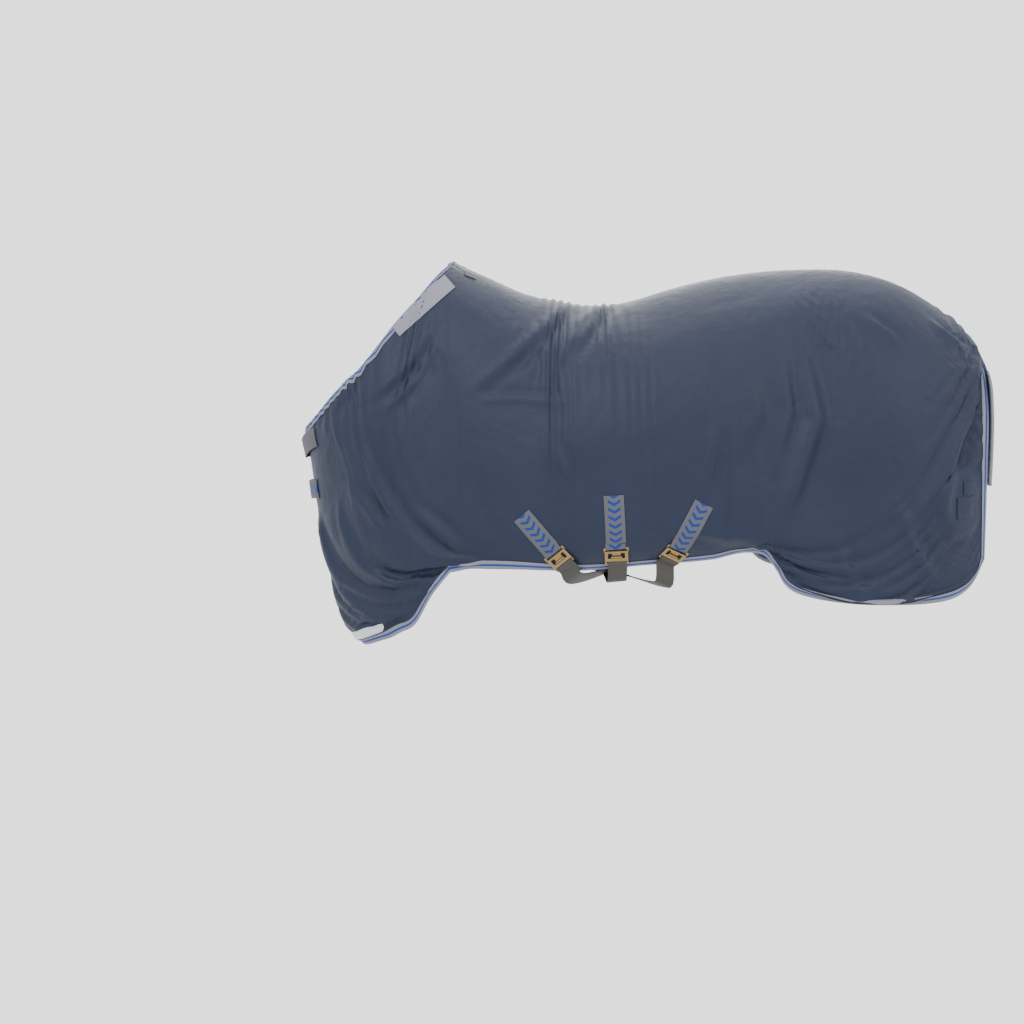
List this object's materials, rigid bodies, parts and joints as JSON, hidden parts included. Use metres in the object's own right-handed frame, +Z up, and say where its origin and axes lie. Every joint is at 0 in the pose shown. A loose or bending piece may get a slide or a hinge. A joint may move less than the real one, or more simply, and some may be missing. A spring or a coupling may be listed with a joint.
{
  "type": "horse turnout rug",
  "caption": "Waterproof turnout rug for a horse, with opening chest fronts, cross surcingles under the belly, bound edges and a lifting tail flap.",
  "frame": {"origin": "on the horse's back at the withers, under the lining, on the centre line", "axes": "-X towards the horse's head, -Y towards its near (left) side, +Z up"},
  "size_m": [1.7995, 0.6701, 1.0113],
  "materials": {
    "outer_cloth": "coated navy ripstop weave with a slight sheen",
    "lining_cloth": "smooth dark nylon lining",
    "edge_tape": "woven grey tape with a blue stripe",
    "webbing": null,
    "label_cloth": "plain woven label",
    "reflective_tape": "silver-grey reflective tape",
    "brass_hardware": "antique brass plating, worn bright on the edges"
  },
  "bodies": {
    "rug": {"outer_shell": "outer_cloth", "lining": "lining_cloth", "neck_binding": "edge_tape", "hem_binding": "edge_tape", "neck_label": "label_cloth", "hood_tab_near": "webbing", "hood_tab_off": "webbing", "surcingle_tab_front": "webbing", "surcingle_tab_middle": "webbing", "surcingle_tab_rear": "webbing", "off_anchor_tab_front": "webbing", "off_anchor_tab_middle": "webbing", "off_anchor_tab_rear": "webbing", "near_upper_leg_patch": "outer_cloth", "near_lower_leg_patch": "outer_cloth", "off_upper_leg_patch": "outer_cloth", "off_lower_leg_patch": "outer_cloth", "near_leg_ring_loop": "webbing", "off_leg_ring_loop": "webbing"},
    "near_front": {"near_front_shell": "outer_cloth", "near_front_lining": "lining_cloth", "near_front_binding": "edge_tape", "near_reflective_strip": "reflective_tape", "chest_strap_upper": "webbing", "chest_strap_lower": "webbing", "chest_clip_tongue_upper": "brass_hardware", "chest_clip_tongue_lower": "brass_hardware"},
    "off_front": {"off_front_shell": "outer_cloth", "off_front_lining": "lining_cloth", "off_front_binding": "edge_tape", "off_reflective_strip": "reflective_tape", "off_chest_tab_upper": "webbing", "off_chest_tab_lower": "webbing", "chest_clip_housing_upper": "brass_hardware", "chest_clip_housing_lower": "brass_hardware"},
    "flap": {"tail_flap": "outer_cloth", "tail_flap_binding": "edge_tape"},
    "strap_front": {"belly_strap_front": "webbing", "slot_plate_front": "brass_hardware"},
    "strap_middle": {"belly_strap_middle": "webbing", "slot_plate_middle": "brass_hardware"},
    "strap_rear": {"belly_strap_rear": "webbing", "slot_plate_rear": "brass_hardware"},
    "hook_front": {"t_hook_front": "brass_hardware"},
    "hook_middle": {"t_hook_middle": "brass_hardware"},
    "hook_rear": {"t_hook_rear": "brass_hardware"},
    "slider_front": {"strap_slider_front": "brass_hardware"},
    "slider_middle": {"strap_slider_middle": "brass_hardware"},
    "slider_rear": {"strap_slider_rear": "brass_hardware"},
    "leg_ring_near": {"near_leg_ring": "brass_hardware"},
    "leg_ring_off": {"off_leg_ring": "brass_hardware"}
  },
  "joints": [
    {"name": "near_front_swing", "type": "hinge", "parent": "rug", "child": "near_front", "pos_m": [-0.2858, -0.2335, -0.4524], "axis": [-0.2363, 0.0822, 0.9682], "range_deg": [0, 60]},
    {"name": "off_front_swing", "type": "hinge", "parent": "rug", "child": "off_front", "pos_m": [-0.2858, 0.2335, -0.4524], "axis": [-0.2363, -0.0822, 0.9682], "range_deg": [-30, 0]},
    {"name": "tail_flap_lift", "type": "hinge", "parent": "rug", "child": "flap", "pos_m": [1.206, 0, -0.105], "axis": [0, -1, 0], "range_deg": [0, 80]},
    {"name": "belly_strap_rear_drop", "type": "hinge", "parent": "rug", "child": "strap_rear", "pos_m": [0.1683, 0.3063, -0.6556], "axis": [1, 0, 0], "range_deg": [0, 80]},
    {"name": "belly_strap_middle_drop", "type": "hinge", "parent": "rug", "child": "strap_middle", "pos_m": [0.316, 0.3108, -0.6648], "axis": [1, 0, 0], "range_deg": [0, 76]},
    {"name": "belly_strap_front_drop", "type": "hinge", "parent": "rug", "child": "strap_front", "pos_m": [0.5557, 0.3137, -0.6421], "axis": [1, 0, 0], "range_deg": [0, 72]},
    {"name": "hook_front_swing", "type": "hinge", "parent": "rug", "child": "hook_front", "pos_m": [0.1602, -0.29493, -0.67823], "axis": [-0.7155, 0.3217, -0.6201], "range_deg": [0, 40]},
    {"name": "hook_middle_swing", "type": "hinge", "parent": "rug", "child": "hook_middle", "pos_m": [0.31607, -0.31086, -0.66487], "axis": [-0.9976, 0.032, -0.0614], "range_deg": [0, 40]},
    {"name": "hook_rear_swing", "type": "hinge", "parent": "rug", "child": "hook_rear", "pos_m": [0.47241, -0.30524, -0.66839], "axis": [-0.8428, -0.3301, 0.4251], "range_deg": [0, 40]},
    {"name": "slider_front_slide", "type": "slide", "parent": "strap_front", "child": "slider_front", "axis": [0.5064, 0.8623, 0], "range_m": [-0.035, 0.035]},
    {"name": "slider_middle_slide", "type": "slide", "parent": "strap_middle", "child": "slider_middle", "axis": [-0.0072, 1, 0], "range_m": [-0.035, 0.035]},
    {"name": "slider_rear_slide", "type": "slide", "parent": "strap_rear", "child": "slider_rear", "axis": [-0.4162, 0.9093, 0], "range_m": [-0.035, 0.035]},
    {"name": "leg_ring_near_swing", "type": "hinge", "parent": "rug", "child": "leg_ring_near", "pos_m": [1.18801, -0.2291, -0.59313], "axis": [-0.8, -0.6, 0], "range_deg": [-70, 0]},
    {"name": "leg_ring_off_swing", "type": "hinge", "parent": "rug", "child": "leg_ring_off", "pos_m": [1.18801, 0.2291, -0.59313], "axis": [0.8, -0.6, 0], "range_deg": [-70, 0]}
  ],
  "couplings": [
    {"joint": "off_front_swing", "follows": "near_front_swing", "ratio": -0.5},
    {"joint": "belly_strap_middle_drop", "follows": "belly_strap_rear_drop", "ratio": 0.95},
    {"joint": "belly_strap_front_drop", "follows": "belly_strap_rear_drop", "ratio": 0.9},
    {"joint": "hook_front_swing", "follows": "belly_strap_rear_drop", "ratio": 0.45},
    {"joint": "hook_middle_swing", "follows": "belly_strap_rear_drop", "ratio": 0.45},
    {"joint": "hook_rear_swing", "follows": "belly_strap_rear_drop", "ratio": 0.45}
  ]
}
